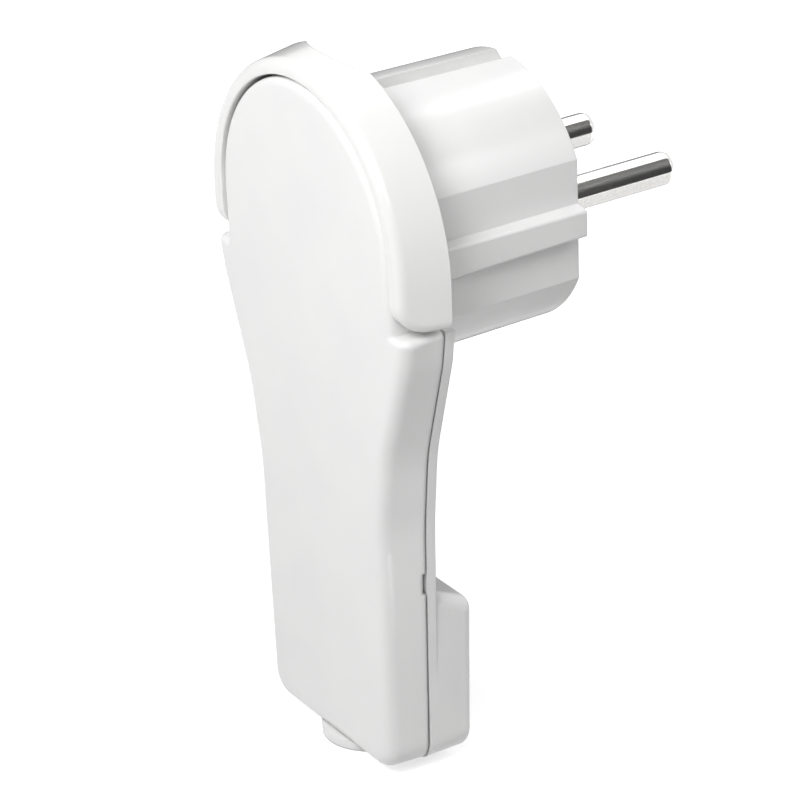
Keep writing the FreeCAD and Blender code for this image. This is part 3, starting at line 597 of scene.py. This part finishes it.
satinShell = makePlastic("satinShell", shellFinish)
glossBody = makePlastic("glossBody", bodyFinish)
glossBail = makePlastic("glossBail", bailFinish)
innerMoulding = makePlastic("innerMoulding", innerFinish)
softSleeve = makePlastic("softSleeve", softFinish)
platedPin = makeMetal("platedPin", pinFinish)
platedStrip = makeMetal("platedStrip", stripFinish)
zincScrew = makeMetal("zincScrew", screwFinish)
turnedBrass = makeMetal("turnedBrass", brassFinish)

nodeFinishes = {
    "cover": satinShell, "plug_base": glossBody, "bail": glossBail,
    "contact_pin_left": platedPin, "contact_pin_right": platedPin,
    "earth_strap": platedStrip, "earth_clamp": zincScrew,
    "pin_retainer": innerMoulding, "cord_clamp_bar": innerMoulding,
    "main_insert": turnedBrass, "lower_insert": turnedBrass,
}
for name, mat in nodeFinishes.items():
    nodes[name].data.materials.clear()
    nodes[name].data.materials.append(mat)
print("finishes made:", len(bpy.data.materials))

meshing = {"mergeWithin": 0.0005 * mm, "crease": math.radians(28)}


def finishPiece(name, bm, mat):
    # merged, facing outwards, smooth except at its creases
    bmesh.ops.remove_doubles(bm, verts=bm.verts, dist=meshing["mergeWithin"])
    bmesh.ops.recalc_face_normals(bm, faces=bm.faces)
    for face in bm.faces:
        face.smooth = True
    for edge in bm.edges:
        if len(edge.link_faces) == 2 and edge.calc_face_angle() > meshing["crease"]:
            edge.smooth = False
    return addMesh(name, bm, mat)


def spinRound(bm, verts, edges, steps):
    bmesh.ops.spin(bm, geom=verts + edges, cent=(0, 0, 0), axis=(0, 0, 1), angle=math.tau,
                   steps=steps, use_merge=True)


screws = {   # headSide is 1 for a head towards +Y, plainShare the part of the shank without a thread
    "main": {"nodes": ["main_screw"], "shank": 1.75 * mm, "head": 2.4 * mm,
             "headSide": 1, "pitch": 0.7 * mm, "plainShare": 0.35},
    "lower": {"nodes": ["lower_screw"], "shank": 1.5 * mm, "head": 2.2 * mm,
              "headSide": 1, "pitch": 0.5 * mm, "plainShare": 0.3},
    "terminal": {"nodes": ["terminal_screw_left", "terminal_screw_right", "earth_terminal_screw"],
                 "shank": 1.75 * mm, "head": 2.0 * mm,
                 "headSide": -1, "pitch": 0.7 * mm, "plainShare": 0.1},
    "retainer": {"nodes": ["retainer_screw_lower", "retainer_screw_upper"],
                 "shank": 1.1 * mm, "head": 1.2 * mm,
                 "headSide": -1, "pitch": 0.8 * mm, "plainShare": 0.1},
    "cordClamp": {"nodes": ["cord_clamp_screw_left", "cord_clamp_screw_right"],
                  "shank": 1.1 * mm, "head": 1.2 * mm,
                  "headSide": -1, "pitch": 0.8 * mm, "plainShare": 0.2},
}
screwCut = {
    "slotWidth": 0.7 * mm, "slotDepth": 0.7 * mm,
    "rimRound": 0.25 * mm, "rimSteps": 3,
    "headSides": 48, "shankSides": 32,
    "threadDepth": 0.16,      # share of the shank's radius
    "tipRadius": 0.8,         # share of the thread's core
    "crest": (0.45, 0.55),    # where a thread's crest begins and ends, in pitches
    "lap": 0.05 * mm,         # how far the shank reaches into the head
}


def addScrewHead(bm, radius, height, cut):
    leastUpward, leastReach = 0.9, 0.99   # of a lip's normal, and of the rim in radii
    slotFloor = height - cut["slotDepth"]
    made = bmesh.ops.create_cone(bm, cap_ends=True, segments=cut["headSides"],
                                 radius1=radius, radius2=radius, depth=slotFloor)
    bmesh.ops.translate(bm, verts=made["verts"], vec=(0, 0, slotFloor / 2))
    slotSide = cut["slotWidth"] / 2
    for side in (-slotSide, slotSide):
        bmesh.ops.bisect_plane(bm, geom=bm.verts[:] + bm.edges[:] + bm.faces[:],
                               plane_co=(0, side, 0), plane_no=(0, 1, 0))
    lips = [f for f in bm.faces
            if f.normal.z > leastUpward and abs(f.calc_center_median().y) > slotSide]
    raised = bmesh.ops.extrude_face_region(bm, geom=lips)["geom"]
    bmesh.ops.delete(bm, geom=lips, context="FACES_ONLY")
    bmesh.ops.translate(bm, verts=[v for v in raised if isinstance(v, bmesh.types.BMVert)],
                        vec=(0, 0, cut["slotDepth"]))
    aboveSlot = slotFloor + cut["slotDepth"] / 2
    rim = [e for e in bm.edges if all(v.co.z > aboveSlot for v in e.verts)
           and all(v.co.xy.length > radius * leastReach for v in e.verts)]
    bmesh.ops.bevel(bm, geom=rim, offset=cut["rimRound"], segments=cut["rimSteps"], profile=0.5,
                    affect="EDGES", material=-1)


def addScrewShank(bm, length, spec, cut):
    shank, pitch = spec["shank"], spec["pitch"]
    core = shank * (1 - cut["threadDepth"])
    profile = [(0, -length), (core * cut["tipRadius"], -length)]
    height = -length + pitch * 0.5
    while height < -length * spec["plainShare"] - pitch:
        profile += [(core, height), (shank, height + pitch * cut["crest"][0]),
                    (shank, height + pitch * cut["crest"][1])]
        height += pitch
    profile += [(core, height), (shank, height + pitch * 0.5), (shank, cut["lap"]), (0, cut["lap"])]
    chain = [bm.verts.new((r, 0, z)) for r, z in profile]
    edges = [bm.edges.new(pair) for pair in zip(chain, chain[1:])]
    spinRound(bm, chain, edges, cut["shankSides"])


def makeScrew(node, spec, cut):
    low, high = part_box(node)
    bm = bmesh.new()
    addScrewHead(bm, (high[0] - low[0]) / 2, spec["head"], cut)
    addScrewShank(bm, high[1] - low[1] - spec["head"], spec, cut)
    seat = high[1] - spec["head"] if spec["headSide"] > 0 else low[1] + spec["head"]
    place = Matrix.Translation(((low[0] + high[0]) / 2, seat, (low[2] + high[2]) / 2))
    bm.transform(place @ Matrix.Rotation(math.radians(-90 * spec["headSide"]), 4, "X"))
    piece = finishPiece(node.replace("_", "-") + "-threaded", bm, zincScrew)
    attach(piece, "plug")
    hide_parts(node)


for spec in screws.values():
    for node in spec["nodes"]:
        makeScrew(node, spec, screwCut)
print("screws made:", sum(len(spec["nodes"]) for spec in screws.values()))

sleeve = {
    "bore": 3.5 * mm, "wall": 1.6 * mm, "flange": 0.9 * mm,
    "flangeFoot": 2.55 * mm, "flangeHeight": 1.4 * mm,   # from the sleeve's lower end
    "lip": 0.35 * mm, "rib": 0.18 * mm, "ribReach": 0.3 * mm, "ribs": 3,
    "sides": 64,
}


def makeSleeve(spec):
    low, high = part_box("cable_grommet")
    length = high[2] - low[2]
    bore, lip = spec["bore"], spec["lip"]
    outer = bore + spec["wall"]
    flange = outer + spec["flange"]
    foot, top = spec["flangeFoot"], spec["flangeFoot"] + spec["flangeHeight"]
    outline = [(bore + lip, 0), (outer - lip, 0), (outer, lip),
               (outer, foot), (flange, foot), (flange, top), (outer, top),
               (outer, length - lip), (outer - lip, length), (bore + lip, length)]
    step = length / (spec["ribs"] + 1)
    root, reach = bore + spec["rib"], spec["ribReach"]
    for k in range(spec["ribs"], 0, -1):   # shallow ribs that grip the cord
        outline += [(root, k * step + reach), (bore, k * step), (root, k * step - reach)]
    bm = bmesh.new()
    ring = [bm.verts.new((r, 0, z)) for r, z in outline]
    edges = [bm.edges.new(pair) for pair in zip(ring, ring[1:] + ring[:1])]
    spinRound(bm, ring, edges, spec["sides"])
    middle = ((low[0] + high[0]) / 2, (low[1] + high[1]) / 2, low[2])
    bmesh.ops.translate(bm, verts=bm.verts, vec=middle)
    piece = finishPiece("cord-sleeve", bm, softSleeve)
    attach(piece, "plug")
    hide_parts("cable_grommet")


makeSleeve(sleeve)
print("sleeve made")
